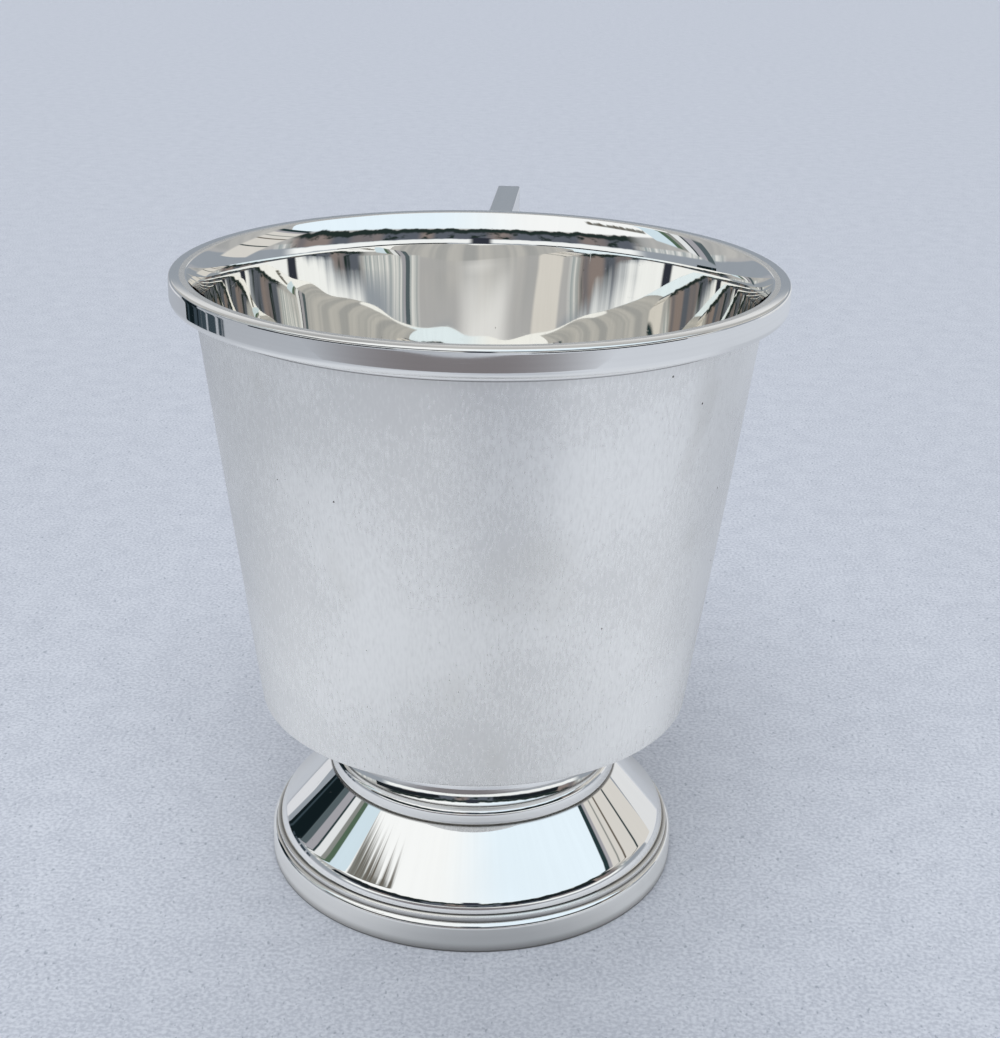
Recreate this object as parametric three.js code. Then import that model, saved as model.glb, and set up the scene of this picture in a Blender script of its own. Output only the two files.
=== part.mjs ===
// A silver christening mug: a tapered bowl with a moulded rim, a waisted neck on a hollow
// conical foot, and an angular handle mitred from rectangular bar.
// Millimetres, +Z up. The mug stands on z = 0, its handle points along +Y, and the origin is
// under the middle of its overall length.

import * as THREE from "three";

// Bowl
const mugHeight = 80; // table to the top of the rim
const wallFootRadius = 28; // outside of the wall at its lower edge
const wallSheet = 0.8; // thickness of the wall, measured across
const floorSheet = 1; // thickness of the floor disc
const lipDepth = 4.2; // height of the part of the wall that flares into the lip

// Rim moulding
const rimRadius = 37.5; // outside of the rim
const rimOverhang = 2.9; // how far the rim stands out from the wall
const rimTopBreadth = 1.2; // width of the rim's top, outside the lip
const rimDepth = 3.3; // height of the rim's outer face
const rimTopRound = 0.3; // rounding of the upper outer edge
const rimFootRound = 0.9; // rounding of the lower outer edge
const rimFeather = 0.2; // thickness that the cove under the rim runs out to

// Neck
const neckRise = 10.9; // height of the neck, from the foot's flange to the bowl
const neckSheet = 0.8; // thickness of the neck
const neckFlare = 1; // how far the top of the neck spreads past its lower end
const neckSeat = 1.6; // width of the flat seat under the bowl
const neckLean = THREE.MathUtils.degToRad(38); // from upright, where the neck leaves the ring
const waistDraw = 1.05; // how far the waist is drawn in from the lower end
const waistRise = 3.8; // height of the waist above the neck ring

// Neck ring
const ringBreadth = 0.7; // from the bore of the ring to its outside
const ringDepth = 2.25; // height of the ring
const ringCrest = 0.6; // how far the ring's rounded top draws in from its outside
const ringCrestRise = 1.25; // height of the rounded top
const ringFootRound = 0.3; // rounding of the ring's lower edge
const ringInset = 0.05; // how far the ring stays inside the edge of the cone

// Foot
const footSheet = 0.8; // thickness of the cone and its skirt
const coneTopRadius = 19.25; // upper edge of the cone
const coneRise = 7.4; // height of the slope
const coneFootRound = 1.2; // how far the rounding at the foot of the slope reaches each way
const flangeMargin = 0.6; // how far the cone's flange reaches inside the neck
const skirtRise = 1.6; // height of the skirt above the band
const skirtFoot = 0.6; // clearance of the skirt's lower edge above the table
const bandRadius = 27.3; // outside of the base band
const bandBreadth = 1; // from the bore of the band to its outside
const bandDepth = 4.1; // height of the band
const bandShoulder = 0.9; // rounding of the band's upper edge
const bandEase = 0.3; // bevel of the band's lower edge
const filletBreadth = 0.4; // flat wire in the corner above the band, from the skirt out
const filletDepth = 0.55; // height of the flat wire

// Handle
const handleWidth = 3.4; // across the bar
const handleBar = 3; // thickness of the bar, in the plane of the loop
const handleSpan = 20.34; // from the rim to the upper outer corner
const handleFootRise = 14; // from the bowl's underside to the underside of the handle
const gripFootSpan = 20; // from the wall to the lower outer corner

// Joints and fineness
const solderGap = 0.1; // thickness of the solder line at every joint
const turnSegments = 64; // facets around the axis
const curveSteps = 4; // facets along each curve of a profile

// Finish
const silverColour = 0xe9e7e2;
const bowlRoughness = 0.2; // wide surfaces, softened by handling
const mouldingRoughness = 0.12;
const coneRoughness = 0.08; // the brightest surface
const handleRoughness = 0.15;

// Heights of the joints, from the table up
const coneFoot = bandDepth + skirtRise;
const coneTop = coneFoot + coneRise;
const neckFoot = coneTop + solderGap;
const ringTop = neckFoot + ringDepth;
const waist = ringTop + waistRise;
const bowlUnderside = coneTop + neckRise;
const neckTop = bowlUnderside - solderGap;
const lipStart = mugHeight - lipDepth;
const rimFoot = mugHeight - rimDepth;

// Radii of the joints
const lipRadius = rimRadius - rimTopBreadth - solderGap;
const mouthRadius = lipRadius - wallSheet;
const coneFootRadius = bandRadius - bandBreadth - solderGap;
const ringRadius = coneTopRadius - ringInset;
const neckFootRadius = ringRadius - ringBreadth - solderGap;

// The wall is a straight cone, from its lower edge to where the lip starts.
const wallSlope = (rimRadius - rimOverhang - wallFootRadius) / (lipStart - bowlUnderside);

// Outside of the wall at a height.
function wallRadius(z) {
  return wallFootRadius + wallSlope * (z - bowlUnderside);
}

// One face of the flared lip, at a distance out from the wall's outer face.
function lipCurve(offset) {
  const knee = (lipStart + mugHeight) / 2;
  return new THREE.QuadraticBezierCurve(
    new THREE.Vector2(wallRadius(lipStart) + offset, lipStart),
    new THREE.Vector2(wallRadius(knee) + offset, knee),
    new THREE.Vector2(lipRadius + offset, mugHeight),
  );
}

// The same curve, drawn from the mouth down.
function lipCurveDown(offset) {
  const up = lipCurve(offset);
  return new THREE.QuadraticBezierCurve(up.v2, up.v1, up.v0);
}

// Adds a curve to a profile whose last point is where the curve starts.
function follow(profile, curve) {
  profile.curves.push(curve);
  profile.currentPoint.copy(curve.v2);
}

// Polished silver.
function silver(roughness) {
  return new THREE.MeshStandardMaterial({ color: silverColour, roughness, metalness: 1 });
}

// A piece turned about the mug's axis from its profile of radius and height.
// A closed profile runs up its outer side.
function turned(name, profile, roughness) {
  const geometry = new THREE.LatheGeometry(profile.getPoints(curveSteps), turnSegments);
  geometry.rotateX(Math.PI / 2);
  const mesh = new THREE.Mesh(geometry, silver(roughness));
  mesh.name = name;
  return mesh;
}

// Tapered wall of the bowl, whose top flares into the lip.
function bowlWall() {
  const profile = new THREE.Path();
  profile.moveTo(wallRadius(bowlUnderside) - wallSheet, bowlUnderside);
  profile.lineTo(wallRadius(bowlUnderside), bowlUnderside);
  profile.lineTo(wallRadius(lipStart), lipStart);
  follow(profile, lipCurve(0));
  profile.lineTo(mouthRadius, mugHeight);
  follow(profile, lipCurveDown(-wallSheet));
  profile.closePath();
  return turned("bowl_wall", profile, bowlRoughness);
}

// Floor disc, dropped in from the mouth until the taper of the wall stops it.
function bowlFloor() {
  const floorTop = bowlUnderside + floorSheet;
  const clearance = wallSheet + solderGap;
  const profile = new THREE.Path();
  profile.moveTo(0, bowlUnderside);
  profile.lineTo(wallRadius(bowlUnderside) - clearance, bowlUnderside);
  profile.lineTo(wallRadius(floorTop) - clearance, floorTop);
  profile.lineTo(0, floorTop);
  return turned("bowl_floor", profile, bowlRoughness);
}

// Moulded wire around the lip: a flat top and face, a rounded lower edge, and a cove under it.
function rimMoulding() {
  const seat = wallRadius(lipStart) + solderGap;
  const profile = new THREE.Path();
  profile.moveTo(seat, lipStart);
  profile.lineTo(seat + rimFeather, lipStart);
  profile.quadraticCurveTo(seat + rimFeather, rimFoot, rimRadius - rimFootRound, rimFoot);
  profile.quadraticCurveTo(rimRadius, rimFoot, rimRadius, rimFoot + rimFootRound);
  profile.lineTo(rimRadius, mugHeight - rimTopRound);
  profile.quadraticCurveTo(rimRadius, mugHeight, rimRadius - rimTopRound, mugHeight);
  profile.lineTo(lipRadius + solderGap, mugHeight);
  follow(profile, lipCurveDown(solderGap));
  return turned("rim_moulding", profile, mouldingRoughness);
}

// Waisted hollow neck, flat on the foot's flange and spread to a flat seat under the bowl.
function neck() {
  const waistRadius = neckFootRadius - waistDraw;
  const coveKnee = ringTop + waistDraw / Math.tan(neckLean);
  const flareRadius = neckFootRadius + neckFlare;
  const flareEdge = neckTop - neckSheet;
  const profile = new THREE.Path();
  profile.moveTo(neckFootRadius - neckSheet, neckFoot);
  profile.lineTo(neckFootRadius, neckFoot);
  profile.lineTo(neckFootRadius, ringTop);
  profile.quadraticCurveTo(waistRadius, coveKnee, waistRadius, waist);
  profile.quadraticCurveTo(waistRadius, flareEdge, flareRadius, flareEdge);
  profile.lineTo(flareRadius, neckTop);
  profile.lineTo(flareRadius - neckSeat, neckTop);
  profile.quadraticCurveTo(waistRadius - neckSheet, flareEdge, waistRadius - neckSheet, waist);
  profile.quadraticCurveTo(
    waistRadius - neckSheet, coveKnee, neckFootRadius - neckSheet, ringTop - neckSheet,
  );
  profile.closePath();
  return turned("neck", profile, mouldingRoughness);
}

// Collar that covers the joint between the neck and the foot.
function neckRing() {
  const bore = neckFootRadius + solderGap;
  const crestFoot = ringTop - ringCrestRise;
  const profile = new THREE.Path();
  profile.moveTo(bore, neckFoot);
  profile.lineTo(ringRadius - ringFootRound, neckFoot);
  profile.lineTo(ringRadius, neckFoot + ringFootRound);
  profile.lineTo(ringRadius, crestFoot);
  profile.quadraticCurveTo(
    ringRadius, crestFoot + ringCrestRise / 2, ringRadius - ringCrest, ringTop,
  );
  profile.lineTo(bore, ringTop);
  profile.closePath();
  return turned("neck_ring", profile, mouldingRoughness);
}

// Hollow cone of the foot: a flange under the neck, the slope, and an upright skirt.
function footCone() {
  const skirtBore = coneFootRadius - footSheet;
  const flangeBore = neckFootRadius - neckSheet - flangeMargin;
  const coneRun = coneFootRadius - coneTopRadius;
  // Distance along the radius through the sloping sheet.
  const slopeSheet = footSheet * Math.hypot(coneRun, coneRise) / coneRise;
  const underFlange = coneTop - footSheet;
  const innerTopRadius = coneTopRadius + coneRun * footSheet / coneRise - slopeSheet;
  const innerFoot = coneFoot - coneRise * (slopeSheet - footSheet) / coneRun;
  // Upper end of the rounding at the foot of the slope.
  const roundShare = coneFootRound / Math.hypot(coneRun, coneRise);
  const roundTopRadius = coneFootRadius - coneRun * roundShare;
  const roundTop = coneFoot + coneRise * roundShare;
  const profile = new THREE.Path();
  profile.moveTo(skirtBore, skirtFoot);
  profile.lineTo(coneFootRadius, skirtFoot);
  profile.lineTo(coneFootRadius, coneFoot - coneFootRound);
  profile.quadraticCurveTo(coneFootRadius, coneFoot, roundTopRadius, roundTop);
  profile.lineTo(coneTopRadius, coneTop);
  profile.lineTo(flangeBore, coneTop);
  profile.lineTo(flangeBore, underFlange);
  profile.lineTo(innerTopRadius, underFlange);
  profile.lineTo(skirtBore, innerFoot);
  profile.closePath();
  return turned("foot_cone", profile, coneRoughness);
}

// Flat wire that lies on the band, against the skirt.
function footFillet() {
  const bore = coneFootRadius + solderGap;
  const underside = bandDepth + solderGap;
  const profile = new THREE.Path();
  profile.moveTo(bore, underside);
  profile.lineTo(bore + filletBreadth, underside);
  profile.lineTo(bore + filletBreadth, underside + filletDepth);
  profile.lineTo(bore, underside + filletDepth);
  profile.closePath();
  return turned("foot_fillet", profile, mouldingRoughness);
}

// Heavy band around the skirt, on which the mug stands.
function footBand() {
  const bore = bandRadius - bandBreadth;
  const shoulderRadius = bandRadius - bandShoulder;
  const profile = new THREE.Path();
  profile.moveTo(bore, 0);
  profile.lineTo(bandRadius - bandEase, 0);
  profile.lineTo(bandRadius, bandEase);
  profile.lineTo(bandRadius, bandDepth - bandShoulder);
  profile.quadraticCurveTo(bandRadius, bandDepth, shoulderRadius, bandDepth);
  profile.lineTo(bore, bandDepth);
  profile.closePath();
  return turned("foot_band", profile, mouldingRoughness);
}

// A length of bar, from its four corners in the plane of the loop.
function bar(name, corners) {
  const geometry = new THREE.ExtrudeGeometry(new THREE.Shape(corners), {
    depth: handleWidth,
    bevelEnabled: false,
  });
  geometry.rotateX(Math.PI / 2);
  geometry.rotateZ(Math.PI / 2);
  geometry.translate(-handleWidth / 2, 0, 0);
  const mesh = new THREE.Mesh(geometry, silver(handleRoughness));
  mesh.name = name;
  return mesh;
}

// Handle of three mitred bars: an arm flush with the rim, a leaning grip, and a lower arm.
function handle() {
  const underside = bowlUnderside + handleFootRise;
  const lowerTop = underside + handleBar;
  const armUnderside = mugHeight - handleBar;
  const rimEnd = rimRadius + solderGap;
  const wallEnd = (z) => wallRadius(z) + solderGap;
  const upperOuter = new THREE.Vector2(rimRadius + handleSpan, mugHeight);
  const lowerOuter = new THREE.Vector2(wallRadius(underside) + gripFootSpan, underside);

  // The inner edge of the grip is its outer edge, moved in by the thickness of the bar.
  const along = lowerOuter.clone().sub(upperOuter).normalize();
  const gripBreadth = handleBar / Math.abs(along.y);
  const gripInside = (z) => upperOuter.x + (z - mugHeight) * along.x / along.y - gripBreadth;
  const upperInner = new THREE.Vector2(gripInside(armUnderside), armUnderside);
  const lowerInner = new THREE.Vector2(gripInside(lowerTop), lowerTop);

  const topArm = bar("handle_top_arm", [
    new THREE.Vector2(rimEnd, armUnderside),
    upperInner,
    upperOuter,
    new THREE.Vector2(rimEnd, mugHeight),
  ]);
  const lowerArm = bar("handle_lower_arm", [
    new THREE.Vector2(wallEnd(underside), underside),
    lowerOuter,
    lowerInner,
    new THREE.Vector2(wallEnd(lowerTop), lowerTop),
  ]);

  // Each end of the grip stops a solder line short of its mitre.
  const shift = along.clone().multiplyScalar(solderGap * Math.SQRT2);
  const grip = bar("handle_grip", [
    lowerOuter.clone().sub(shift),
    upperOuter.clone().add(shift),
    upperInner.clone().add(shift),
    lowerInner.clone().sub(shift),
  ]);
  return [topArm, grip, lowerArm];
}

// The mug's axis lies in front of the origin, by half of what the handle adds to the length.
const mug = new THREE.Group();
mug.position.y = -handleSpan / 2;
mug.add(bowlWall(), bowlFloor(), rimMoulding());
mug.add(neck(), neckRing());
mug.add(footCone(), footFillet(), footBand());
mug.add(...handle());

export default mug;
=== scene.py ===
# %% [markdown]
# # A silver christening mug
#
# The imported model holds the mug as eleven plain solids. This lesson gives each of them the fine
# surface that it has on the real mug, then the polish and the small wear of silver that is used,
# and sets it on pale paper under a soft studio sky. Everything is in metres and in the frame of
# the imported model, so that no piece has to be moved into place afterwards.

# %% Load the frame
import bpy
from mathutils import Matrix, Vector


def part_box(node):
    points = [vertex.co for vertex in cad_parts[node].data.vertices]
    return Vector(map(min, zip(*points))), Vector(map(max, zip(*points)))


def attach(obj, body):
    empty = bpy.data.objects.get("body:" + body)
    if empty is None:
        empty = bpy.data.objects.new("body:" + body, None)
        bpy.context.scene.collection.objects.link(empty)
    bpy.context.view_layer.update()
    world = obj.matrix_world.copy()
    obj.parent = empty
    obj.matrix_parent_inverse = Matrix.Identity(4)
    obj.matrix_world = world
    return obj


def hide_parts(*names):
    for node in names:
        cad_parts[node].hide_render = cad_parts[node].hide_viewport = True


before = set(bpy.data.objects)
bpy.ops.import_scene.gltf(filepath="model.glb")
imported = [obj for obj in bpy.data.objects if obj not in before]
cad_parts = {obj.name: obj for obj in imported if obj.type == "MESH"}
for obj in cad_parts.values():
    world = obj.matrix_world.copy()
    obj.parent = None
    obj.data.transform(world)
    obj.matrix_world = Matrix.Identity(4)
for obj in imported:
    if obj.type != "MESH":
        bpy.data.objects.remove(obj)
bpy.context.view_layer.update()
print("packed nodes:", ", ".join(sorted(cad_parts)))

# %% [markdown]
# ## Sizes read from the solids
#
# A turned piece needs an axis, a few radii and a few heights. They could be typed in again, but
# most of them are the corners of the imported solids' boxes, so they are read from there and the
# fine surfaces follow the solids.

# %% Axis, radii and heights
import bpy
import numpy as np

MM = 0.001


def turned_size(solid):
    """Outer radius, lowest height and highest height of a turned solid, from its box."""
    low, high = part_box(solid)
    return (high.x - low.x) / 2, low.z, high.z


band_low, band_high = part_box("foot_band")
axis_y = (band_low.y + band_high.y) / 2
rim_radius, lip_start, mug_top = turned_size("rim_moulding")
lip_radius, bowl_underside, _ = turned_size("bowl_wall")
_, _, floor_top = turned_size("bowl_floor")
flare_radius, _, neck_top = turned_size("neck")
ring_radius, _, ring_top = turned_size("neck_ring")
skirt_radius, skirt_foot, cone_top = turned_size("foot_cone")
fillet_radius, _, fillet_top = turned_size("foot_fillet")
band_radius, _, band_top = turned_size("foot_band")
print(f"rim {2 * rim_radius / MM:.1f} mm across, mug {mug_top / MM:.1f} mm high")

# %% [markdown]
# ## Outlines
#
# Every turned piece starts as a closed outline in a plane: radius to the right, height up. Real
# silver has no perfectly sharp edge, and it is the small rounding that catches a line of light.
# A Bevel modifier could round the edges later, but an outline that is already rounded keeps every
# radius under control, so each edge is drawn as a small curve.

# %% Curves for outlines
same_point = 0.0001 * MM


def bend(start, corner, end, steps=24):
    """Curve drawn towards a corner: (1-t)^2 start + 2t(1-t) corner + t^2 end, for t from 0 to 1."""
    t = np.linspace(0, 1, steps)[:, None]
    first, middle, last = np.array([start, corner, end])
    return (1 - t) ** 2 * first + 2 * t * (1 - t) * middle + t**2 * last


def eased(before, corner, after, reach, steps=8):
    """Rounded corner: a bend that leaves each side at a distance, the reach, from the corner."""
    before, corner, after = np.array([before, corner, after])
    back = (before - corner) / np.linalg.norm(before - corner)
    on = (after - corner) / np.linalg.norm(after - corner)
    return bend(corner + reach * back, corner, corner + reach * on, steps)


def outline(*parts, longest=1.0 * MM):
    """Closed outline from points and curves, in order, running up its outer side.

    A side longer than the given step is divided evenly: with n parts, the k-th new point lies
    at start + k/n of the way to the end. Repeated points are dropped.
    """
    points = np.vstack([np.atleast_2d(part) for part in parts])
    step = np.linalg.norm(np.roll(points, -1, axis=0) - points, axis=1)
    points = points[step > same_point]
    side = np.roll(points, -1, axis=0) - points
    count = np.ceil(np.linalg.norm(side, axis=1) / longest).astype(int)
    first = np.repeat(np.cumsum(count) - count, count)
    share = (np.arange(count.sum()) - first) / np.repeat(count, count)
    return np.repeat(points, count, axis=0) + share[:, None] * np.repeat(side, count, axis=0)


print("an eased corner has", len(eased((0, 1), (0, 0), (1, 0), 0.1)), "points")

# %% [markdown]
# ## From an outline to a turned piece
#
# Blender's Spin tool or a Screw modifier would turn an outline too. Here the surface is worked
# out as a grid: one direction runs along the outline, the other around the axis. Two values
# are kept at every point for the finishes to use later: where it lies on the polishing grain, and
# how close it is to a joint, where polish and dirt collect and where a dark line of shade is painted.

# %% Joints that collect polish, and painted shade
rim_overhang = 2.9 * MM
feather = 0.2 * MM
neck_foot_inset = 0.8 * MM
neck_foot_radius = ring_radius - neck_foot_inset
cone_top_gap = 0.05 * MM
cone_top_radius = ring_radius + cone_top_gap
contact_shade_inset, contact_shade_low, contact_shade_high = 0.03 * MM, 0.12 * MM, 0.22 * MM
joints = np.array([
    (rim_radius - rim_overhang + feather, lip_start),
    (flare_radius, bowl_underside),
    (neck_foot_radius, ring_top),
    (cone_top_radius, cone_top),
    (skirt_radius, fillet_top),
    (fillet_radius, band_top),
    # These two points at the foot of the band, where it stands on the paper, carry a painted contact
    # shadow.
    (band_radius - contact_shade_inset, contact_shade_low),
    (band_radius, contact_shade_high),
])
# The dark line at each joint is tarnish with painted shade over it; at the band's foot it is painted
# contact shadow only.
print(len(joints), "lines around the mug that polish or dust collects in")

# %% The turned surface
grain_radius = 30 * MM
crevice_width = 0.13 * MM
sharp_angle = np.radians(40)


def mesh_piece(name, points, faces, grain, crevice):
    """Mesh object of shaded-smooth faces, with the grain and the crevice values at its points."""
    mesh = bpy.data.meshes.new(name)
    mesh.from_pydata(points.tolist(), [], faces, shade_flat=False)
    mesh.attributes.new("grain", "FLOAT_VECTOR", "POINT").data.foreach_set(
        "vector", grain.astype(np.float32).ravel())
    mesh.attributes.new("crevice", "FLOAT", "POINT").data.foreach_set(
        "value", crevice.astype(np.float32).ravel())
    mesh.set_sharp_from_angle(angle=sharp_angle)
    made = bpy.data.objects.new(name, mesh)
    bpy.context.scene.collection.objects.link(made)
    print(f"{name}: {len(points)} points, {len(faces)} faces")
    return made


def turned(name, profile, segments=256, swell=None):
    """Closed outline turned about the mug's axis.

    A point at radius r and height z goes to (r cos a, axis + r sin a, z) for every angle a, and
    the last row joins the first in both directions. A swell gives each point an extra radius.
    """
    angle = np.arange(segments) * 2 * np.pi / segments
    radius = np.repeat(profile[:, :1], segments, axis=1)
    height = np.repeat(profile[:, 1:], segments, axis=1)
    if swell is not None:
        radius = radius + swell(angle[None, :], height)
    points = np.stack([radius * np.cos(angle), axis_y + radius * np.sin(angle), height], axis=-1)

    step = np.linalg.norm(np.diff(profile, axis=0), axis=1)
    along = np.concatenate([[0], np.cumsum(step)])
    grain = np.empty_like(points)
    grain[..., 0] = grain_radius * np.cos(angle)
    grain[..., 1] = grain_radius * np.sin(angle)
    grain[..., 2] = along[:, None]
    apart = np.linalg.norm(profile[:, None, :] - joints[None, :, :], axis=2).min(axis=1)
    crevice = np.repeat(np.exp(-(apart / crevice_width) ** 2)[:, None], segments, axis=1)

    index = np.arange(points[..., 0].size).reshape(len(profile), segments)
    up = np.roll(index, -1, axis=0)
    quads = np.stack([index, np.roll(index, -1, 1), np.roll(up, -1, 1), up], axis=-1)
    return mesh_piece(
        name, points.reshape(-1, 3), quads.reshape(-1, 4).tolist(),
        grain.reshape(-1, 3), crevice.ravel())


def place(piece, node):
    """The piece rides on the mug and stands for its solid."""
    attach(piece, "root")
    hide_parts(node)
    return piece


# %% [markdown]
# ## The bowl
#
# The wall is a cone of sheet silver, bent up from a flat blank and worked over a stake, so it is
# never quite true: slow waves of a few hundredths of a millimetre run through it. They are too
# small to see on the metal, but they make the reflections inside the bowl wander as they do in a
# real one. At the top the sheet flares into the lip. The disc of the floor is let into the lower
# end, and a fillet of solder runs around it.

# %% Line of the wall and the lip
wall_foot_radius = 28.0 * MM
wall_sheet = 0.8 * MM
wall_lip_radius = rim_radius - rim_overhang
wall_slope = (wall_lip_radius - wall_foot_radius) / (lip_start - bowl_underside)
lip_knee = (lip_start + mug_top) / 2


def wall_radius(z):
    """Outside of the wall at a height: a straight line from its foot to the lip."""
    return wall_foot_radius + wall_slope * (z - bowl_underside)


def lip(offset):
    """Face of the flared lip, at a distance out from the wall's outer face, from below to the top."""
    return bend(
        (wall_radius(lip_start) + offset, lip_start),
        (wall_radius(lip_knee) + offset, lip_knee),
        (lip_radius + offset, mug_top), steps=32)


print(f"the wall leans out {np.degrees(np.arctan(wall_slope)):.1f} degrees")

# %% Slow waves of the sheet
wave_height = 0.012 * MM
wave_turns = np.array([2, 3, 5, 7, 11, 13])
wave_length = np.array([90, 46, 38, 30, 23, 17]) * MM
wave_share = np.array([1.6, 1.2, 1.0, 0.7, 0.45, 0.35])
wave_start = np.random.default_rng(7).uniform(0, 2 * np.pi, len(wave_turns))
wave_fade = 4 * MM
wave_top = lip_start + 2 * MM


def hammer_waves(angle, height):
    """Sum of slow waves: share x cos(turns x angle + 2 pi height / length + start).

    It fades to nothing at the foot of the wall and in the lip.
    """
    phase = angle[..., None] * wave_turns + 2 * np.pi * height[..., None] / wave_length + wave_start
    rise = np.clip((height - bowl_underside) / wave_fade, 0, 1)
    fall = np.clip((wave_top - height) / wave_fade, 0, 1)
    return wave_height * rise * fall * (wave_share * np.cos(phase)).sum(axis=-1)


print(f"waves of up to {wave_height * wave_share.sum() / MM:.3f} mm")

# %% Wall
wall_foot_ease = 0.22 * MM
mouth_ease = 0.12 * MM
wall_inner_foot = (wall_radius(bowl_underside) - wall_sheet, bowl_underside)
wall_outer_foot = (wall_radius(bowl_underside), bowl_underside)
wall_start = (wall_radius(lip_start), lip_start)
mouth_edge = (lip_radius - wall_sheet, mug_top)
inner_lip = lip(-wall_sheet)[::-1]
below_mouth = inner_lip[3]
wall = place(turned("tapered_wall", outline(
    wall_inner_foot,
    eased(wall_inner_foot, wall_outer_foot, wall_start, wall_foot_ease),
    lip(0),
    eased((lip_radius, mug_top), mouth_edge, below_mouth, mouth_ease),
    inner_lip[1:],
), swell=hammer_waves), "bowl_wall")

# %% Floor disc
solder = 1.2 * MM
flat_rows = 29
floor_edge = wall_radius(floor_top) - wall_sheet
solder_top = (wall_radius(floor_top + solder) - wall_sheet, floor_top + solder)
flat_radius = np.linspace(floor_edge - solder, 0, flat_rows + 1)[1:]
floor_profile = np.vstack([
    (0, bowl_underside),
    (wall_inner_foot[0], bowl_underside),
    bend(solder_top, (floor_edge, floor_top), (floor_edge - solder, floor_top), steps=16),
    np.column_stack([flat_radius, np.full(flat_rows, floor_top)]),
])


def turned_disc(name, profile, segments=192):
    """Outline from the axis to the axis, turned: rows of quads, closed by a fan at each pole."""
    angle = np.arange(segments) * 2 * np.pi / segments
    rows = profile[1:-1]
    ring = np.stack([
        rows[:, :1] * np.cos(angle), axis_y + rows[:, :1] * np.sin(angle),
        np.repeat(rows[:, 1:], segments, axis=1)], axis=-1).reshape(-1, 3)
    poles = [(0, axis_y, profile[0, 1]), (0, axis_y, profile[-1, 1])]
    points = np.vstack([ring, poles])
    index = np.arange(len(ring)).reshape(len(rows), segments)
    beside = np.roll(index, -1, axis=1)
    quads = np.stack([index[:-1], beside[:-1], beside[1:], index[1:]], axis=-1).reshape(-1, 4)
    under = np.stack([np.full(segments, len(ring)), beside[0], index[0]], axis=-1)
    over = np.stack([index[-1], beside[-1], np.full(segments, len(ring) + 1)], axis=-1)
    faces = quads.tolist() + under.tolist() + over.tolist()
    return mesh_piece(name, points, faces, points - (0, axis_y, 0), np.zeros(len(points)))


floor_disc = place(turned_disc("floor_disc", floor_profile), "bowl_floor")

# %% [markdown]
# ## The rim wire
#
# A drawn wire with a shaped section is bent into a ring, pushed up under the lip and soldered, and
# its top is filed flush with the lip. Its face is upright, its upper edge is barely broken, and its
# lower edge is rounded under and hollowed to a cove, where the wall's own reflection disappears.

# %% Rim wire
rim_face = 3.3 * MM
rim_foot = mug_top - rim_face
rim_round = 0.95 * MM
rim_edge_fall = 0.55 * MM
rim_edge_breadth = 0.35 * MM
seat = wall_radius(lip_start)
cove_top = (seat + feather, lip_start)
cove_foot = (rim_radius - rim_round, rim_foot)
face_foot = (rim_radius, rim_foot + rim_round)
face_top = (rim_radius, mug_top - rim_edge_fall)
rim_wire = place(turned("rim_wire", outline(
    (seat, lip_start),
    cove_top,
    bend(cove_top, (seat + feather, rim_foot), cove_foot),
    bend(cove_foot, (rim_radius, rim_foot), face_foot),
    bend(face_top, (rim_radius, mug_top), (rim_radius - rim_edge_breadth, mug_top), steps=16),
    lip(0)[::-1],
)), "rim_moulding")

# %% [markdown]
# ## Neck and collar
#
# The neck is spun on a lathe: a hollow spool, drawn in at its waist and spread at the top to a
# flat seat under the bowl. A collar of round-topped wire hides the joint where it stands on the
# foot. Between them they show five thin bands of light and dark, because a concave curve and a
# convex one mirror the same sky in opposite order.

# %% Neck
neck_sheet = 0.8 * MM
neck_seat = 1.6 * MM
neck_lean = np.radians(38)
neck_bore = neck_foot_radius - neck_sheet
waist_draw = 1.05 * MM
waist_rise = 3.8 * MM
waist = (neck_foot_radius - waist_draw, ring_top + waist_rise)
waist_bore = (waist[0] - neck_sheet, waist[1])
cove_knee = ring_top + waist_draw / np.tan(neck_lean)
flare_edge = neck_top - neck_sheet
flare_ease = 0.2 * MM
flare_start = (flare_radius - flare_ease, flare_edge)
seat_bore = flare_radius - neck_seat
neck = place(turned("waisted_neck", outline(
    (neck_bore, cone_top),
    (neck_foot_radius, cone_top),
    bend((neck_foot_radius, ring_top), (waist[0], cove_knee), waist, steps=40),
    bend(waist, (waist[0], flare_edge), flare_start, steps=40),
    eased((waist[0], flare_edge), (flare_radius, flare_edge), (flare_radius, neck_top), flare_ease),
    (flare_radius, bowl_underside),
    (seat_bore, bowl_underside),
    bend((seat_bore, neck_top), (waist_bore[0], flare_edge), waist_bore),
    bend(waist_bore, (waist_bore[0], cove_knee), (neck_bore, ring_top - neck_sheet)),
)), "neck")


# %% Collar
def arc(middle, radius, start, end, steps=32):
    """Part of a circle: middle + radius x (cos a, sin a), for angles a in degrees."""
    a = np.radians(np.linspace(start, end, steps))
    return np.array(middle) + radius * np.column_stack([np.cos(a), np.sin(a)])


ring_wire = 1.4 * MM
ring_turn = 59
ring_middle = ring_top - ring_wire * np.sin(np.radians(ring_turn))
ring_foot_round = 0.35 * MM
ring_foot = (ring_radius - ring_foot_round, cone_top)
collar = place(turned("collar_ring", outline(
    (neck_foot_radius, cone_top),
    ring_foot,
    bend(ring_foot, (ring_radius, cone_top), (ring_radius, cone_top + 2 * ring_foot_round)),
    arc((ring_radius - ring_wire, ring_middle), ring_wire, 0, ring_turn),
    (neck_foot_radius, ring_top),
)), "neck_ring")

# %% [markdown]
# ## The foot
#
# The foot is one spun shell: a flange under the neck, a slope that acts as a mirror for the sky,
# and a skirt that the slope rounds over into. A band goes around the skirt for the mug to stand on,
# and a flat wire fills the corner above it. The shell is open underneath.

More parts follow.
